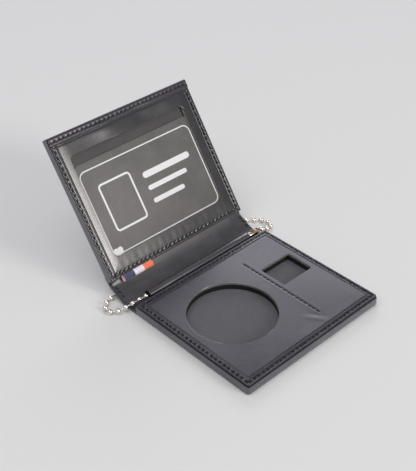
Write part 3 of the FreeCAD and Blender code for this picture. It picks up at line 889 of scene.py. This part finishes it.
def card_finish():
    material, w = new_finish("printed_card")
    place = measured(w, "UV")
    x, up = across_and_up(place)

    def round_box(cx, cy, half_x, half_y, radius):
        a, b = abs(x - cx) - (half_x - radius), abs(up - cy) - (half_y - radius)
        outside = w.sum("SQRT", a.most(0.0) * a.most(0.0) + b.most(0.0) * b.most(0.0))
        return outside + a.most(b).least(0.0) - radius

    keyline = 1 - abs(round_box(-0.7, 38.4, 41.0, 25.2, 4.2)).rise(0.28, 0.44)
    picture = 1 - abs(round_box(-22.0, 39.0, 11.0, 14.0, 2.0)).rise(0.5, 0.7)
    white = keyline.most(picture)
    for cx, cy, half_x, half_y in ((15.0, 47.0, 18.0, 1.9), (12.0, 39.0, 15.0, 1.4), (9.0, 31.0, 12.0, 1.4)):
        white = white.most(1 - round_box(cx, cy, half_x, half_y, half_y).rise(-0.1, 0.1))
    chip = round_box(-38.6, 14.6, 3.3, 2.1, 1.5) + place.noise(0.8, 3.0) * 2.4
    white = white.most(1 - chip.rise(1.2, 1.5))
    cloud = place.noise(0.05, 5.0, 0.65)
    fleck = place.noise(1.3, 2.0).rise(0.72, 0.76)
    turned = w.node("Mapping", {}, {0: place, "Rotation": (0, 0, 0.5), "Scale": (0.9, 0.03, 1)})
    scratch = turned.noise(1.0, 2.0).rise(0.66, 0.72)
    ground = cloud.rise(0.3, 0.7).tint((0.11, 0.105, 0.104, 1), (0.15, 0.143, 0.141, 1))
    ground = (fleck * 0.3 + scratch * 0.16).least(1.0).tint(ground, (0.5, 0.49, 0.48, 1))
    height = scratch * -0.02 + cloud * 0.05
    return with_surface(material, w.node("BsdfPrincipled", {}, {
        "Base Color": white.tint(ground, (0.86, 0.86, 0.87, 1)),
        "Roughness": 0.38 + cloud * 0.2 + scratch * 0.15, "Normal": height.bump(0.6)}))


insert_card = block("insert_card_print", card_low, card_high)
round_edges(insert_card, 3.2, 8, lambda at, way: abs(way.z) > 0.9)
round_edges(insert_card, 0.12, 2, lambda at, way: abs(way.z) < 0.1)
bpy.ops.object.mode_set(mode="OBJECT")
layer = insert_card.data.uv_layers.active.data
for loop in insert_card.data.loops:
    spot = insert_card.data.vertices[loop.vertex_index].co / mm
    layer[loop.index].uv = (spot.x / 100, spot.y / 100)
insert_card.data.transform(lid_surface)
finish_piece(insert_card, card_finish(), "card_print", "card", "insert_card")


# Window film: a clear sheet behind the window panel, slightly wavy, with hairline scuffs. A border of dull
# paste along its sides and top bonds it to the panel.
def film_finish():
    material, w = new_finish("clear_film")
    place = measured(w, "UV")
    x, up = across_and_up(place)
    ripple = place.noise(0.04, 2.0) * 0.5
    turned = w.node("Mapping", {}, {0: place, "Rotation": (0, 0, -0.7), "Scale": (1.1, 0.05, 1)})
    scuff = turned.noise(1.0, 2.0).rise(0.71, 0.79)
    gloss = w.node("BsdfGlossy", {}, {"Color": (1, 1, 1, 1), "Roughness": 0.12, "Normal": ripple.bump()})
    clear = w.node("BsdfTransparent", {}, {"Color": (0.97, 0.97, 0.97, 1)})
    facing = w.node("LayerWeight", {}, {"Blend": 0.12}, "Fresnel")
    film = w.node("MixShader", {}, {0: (facing * 0.36 + scuff * 0.05).least(0.07), 1: clear, 2: gloss})
    paste = place.noise(1.6, 3.0)
    glued = (x + paste * 0.8).rise(41.3, 41.7).most((0 - x).rise(42.4, 42.6))
    glued = glued.most((up - 43.7).rise(31.0, 31.2))
    tone = paste.rise(0.3, 0.7).tint((0.035, 0.034, 0.034, 1), (0.16, 0.157, 0.155, 1))
    border = w.node("BsdfPrincipled", {}, {"Base Color": tone, "Roughness": 0.8})
    return with_surface(material, w.node("MixShader", {}, {0: glued, 1: film, 2: border}))


def film_place(x, up):
    return (x, *on_lid(up, 3.6 + 0.05 * math.sin(x / 8 + 0.5) * math.sin(up / 10)))


window_film = sheet("window_film_sheet", spaced(-45.5, 45.5, 30), spaced(9.6, 77.7, 24), film_place, 0.12)
finish_piece(window_film, film_finish(), "clear_film", "lid", "window_film")


# Window panel: polished leather over the lid with a rounded window, rolled sides, a pressed line along them
# and a slack upper strip that waves where the pocket opens. It is sewn along the sides and lower edge.
glossy_leather = leather("glossy_leather", (0.013, 0.013, 0.015, 1), (0.030, 0.029, 0.030, 1), 0.18, 0.16,
                         "UV", coat=0.4, streak=0.35)
frame_top, frame_thick, frame_half = 4.65, 0.6, 50.7
frame_foot, frame_head = 1.4, 88.3
lid_seam_low, lid_seam_high = frame_foot + seam_inset, 81.0
window_low, window_high = (-42.5, 12.6, 0.5), (42.5, 74.7, 4.45)
window_mouth = 0.35


def panel_place(x, up):
    side, foot = half_width - abs(x), up - frame_foot
    slack = 0.45 * hill(x, -12, 9) - 0.3 * hill(x, 11, 7) + 0.25 * hill(x, 31, 8) - 0.1 * hill(x, -33, 9)
    lift = clamp((min(side, foot + 1, 91 - up) - 4.6) / 6.5)
    crown = 0.30 * lift * (2 - lift) - 0.3 - 0.25 * hill(up, 82.7, 0.45)
    fall = rolled(min(side - 0.8, foot), 0.6) + 0.36 * hill(side, line_inset, 0.28)
    if side < foot:
        fall += 0.42 * drawn_down(up - lid_seam_low, side, lid_seam_high - lid_seam_low)
    else:
        fall += 0.42 * drawn_down(x + seam_x, foot, 2 * seam_x, 0)
    crease = 0.011 * hill(up, 8.0, 2.8) * (math.sin(x / 1.9) + math.sin(x / 0.83 + 1) + math.sin(x / 3.7))
    return (x, *on_lid(up, frame_top - fall + slack * hill(up, 80.5, 5.5) + crown + crease))


panel_rows = [frame_foot + d for d in edge_steps] + spaced(7.4, 81.8, 93) + spaced(82.0, 83.54, 7)
panel_rows += [84.5, 86.0, frame_head]
window_panel = sheet("window_panel_leather", lines_between(-frame_half, frame_half, edge_steps, 0.7),
                     panel_rows, panel_place, frame_thick)
window_panel.data.materials.append(glossy_leather)
window_cutter = block("window_cutter", window_low, window_high)
round_edges(window_cutter, 3.8, 10, lambda at, way: abs(way.z) > 0.9)
cutter_mouth(window_cutter, window_high[2], window_mouth)
window_cutter.data.transform(lid_surface)
cut_out(window_panel, window_cutter, raw_edge, rim_painted_highlight)
finish_piece(window_panel, glossy_leather, "glossy_black_leather", "lid", "window_frame")


# Pocket hem: a strip of smooth leather turned over the window panel's upper edge and sewn along its middle.
# Its lower edge lifts with the larger waves of the panel.
hem_rows = [(83.2, 4.5), (83.22, 5.0), (83.5, 5.3), (84.2, 5.46), (84.9, 5.45), (85.4, 5.36), (85.8, 5.32),
            (86.2, 5.36), (86.8, 5.45), (87.5, 5.42), (88.1, 5.2), (88.42, 4.8), (88.5, 4.3), (88.5, 3.85)]
hem_seam = 85.8


def hem_place(x, n):
    up, out = hem_rows[n]
    beat = needle_beat(x + seam_x, 2 * seam_x, 0.2 * (up - hem_seam))
    lift = hill(up, hem_rows[0][0], 1.6) * (0.35 * hill(x, -12, 9) - 0.3 * hill(x, 11, 7))
    return (x, *on_lid(up, out - 0.10 * beat * hill(up, hem_seam, 1.2) + lift))


pocket_hem = sheet("pocket_hem_leather", spaced(-51, 51, 190), range(len(hem_rows)), hem_place, frame_thick)
finish_piece(pocket_hem, smooth_leather, "glossy_black_leather", "lid")


# Lid thread: the same waxed stitch, in finer thread along the sides and lower edge of the window panel and
# in full along the hem. Each row lies in the channel pressed for it.
lid_places = seam((-seam_x, lid_seam_high), (-seam_x, lid_seam_low), 4.5)
lid_places += seam((-seam_x, lid_seam_low), (seam_x, lid_seam_low), 4.45, 0.42)
lid_places += seam((seam_x, lid_seam_low), (seam_x, lid_seam_high), 4.5)
sew("lid_thread", "lid", lid_places, lid_surface, "lid_stitches", 0.62)
hem_places = seam((-seam_x, hem_seam), (seam_x, hem_seam), 5.22, 0.45)
sew("hem_thread", "lid", hem_places, lid_surface, "hem_stitches")
bpy.data.objects.remove(stitch_pattern)


# Ribbon tab: a short woven tape in three stripes, folded double and caught under the window panel's lower
# edge, so that it stands off the lining as a soft loop.
def ribbon_finish():
    material, w = new_finish("striped_ribbon")
    place = measured(w, "UV")
    x = w.node("SeparateXYZ", {}, {0: place}, "X")
    threads = {"Vector": place, "Scale": 1.3, "Distortion": 0.6}
    weft, warp = (w.node("TexWave", {"bands_direction": axis}, threads) for axis in "YX")
    fray = place.noise(1.5, 2.0)
    stripe = x + (fray - 0.5) * 0.3
    tone = stripe.rise(-36.7, -36.5).tint((0.022, 0.036, 0.102, 1), (0.94, 0.87, 0.96, 1))
    tone = stripe.rise(-29.9, -29.7).tint(tone, (1.0, 0.20, 0.085, 1))
    tone = (weft * 0.05 + fray * 0.05).tint(tone, (0.9, 0.7, 0.75, 1))
    return with_surface(material, w.node("BsdfPrincipled", {}, {
        "Base Color": tone, "Roughness": 0.75 + fray * 0.15, "Normal": ((weft + warp) * 0.05).bump(),
        "Sheen Weight": 0.2}))


def ribbon_back():
    material, w = new_finish("ribbon_back")
    tone = measured(w, "UV").noise(1.5, 2.0).tint((0.85, 0.55, 0.68, 1), (0.95, 0.80, 0.88, 1))
    return with_surface(material, w.node("BsdfPrincipled", {}, {"Base Color": tone, "Roughness": 0.85}))


ribbon_left, ribbon_width, ribbon_shown = -44, 21, 10.7
lining_slope = (-0.79, -0.613)
lining_face = (-0.613, 0.79)
ribbon_root = (65.25, 10.2)
loop_steps = 28


def ribbon_place(x, n):
    """Round the loop from the root of its lower layer, round the fold, and back to the root."""
    turn = math.radians(-170 + 340 * n / loop_steps)
    down = 2.1 + 1.95 * math.cos(turn)
    away = 1.85 + 1.65 * math.copysign(abs(math.sin(turn)) ** 0.75, turn)
    return (x, *(o + s * down + f * away for o, s, f in zip(ribbon_root, lining_slope, lining_face)))


ribbon_tab = sheet("ribbon_tab_loop", spaced(ribbon_left, ribbon_left + ribbon_width, 24),
                   range(loop_steps + 1), ribbon_place)
ribbon_tab.data.materials.append(None)
ribbon_tab.data.materials.append(ribbon_back())
thicken(ribbon_tab, 0.28, inside=1)
for loop in ribbon_tab.data.uv_layers.active.data:
    loop.uv[1] *= 0.5
finish_piece(ribbon_tab, ribbon_finish(), "striped_ribbon", None, "ribbon_tab")
fold_with(ribbon_tab, "upper", 2.5)
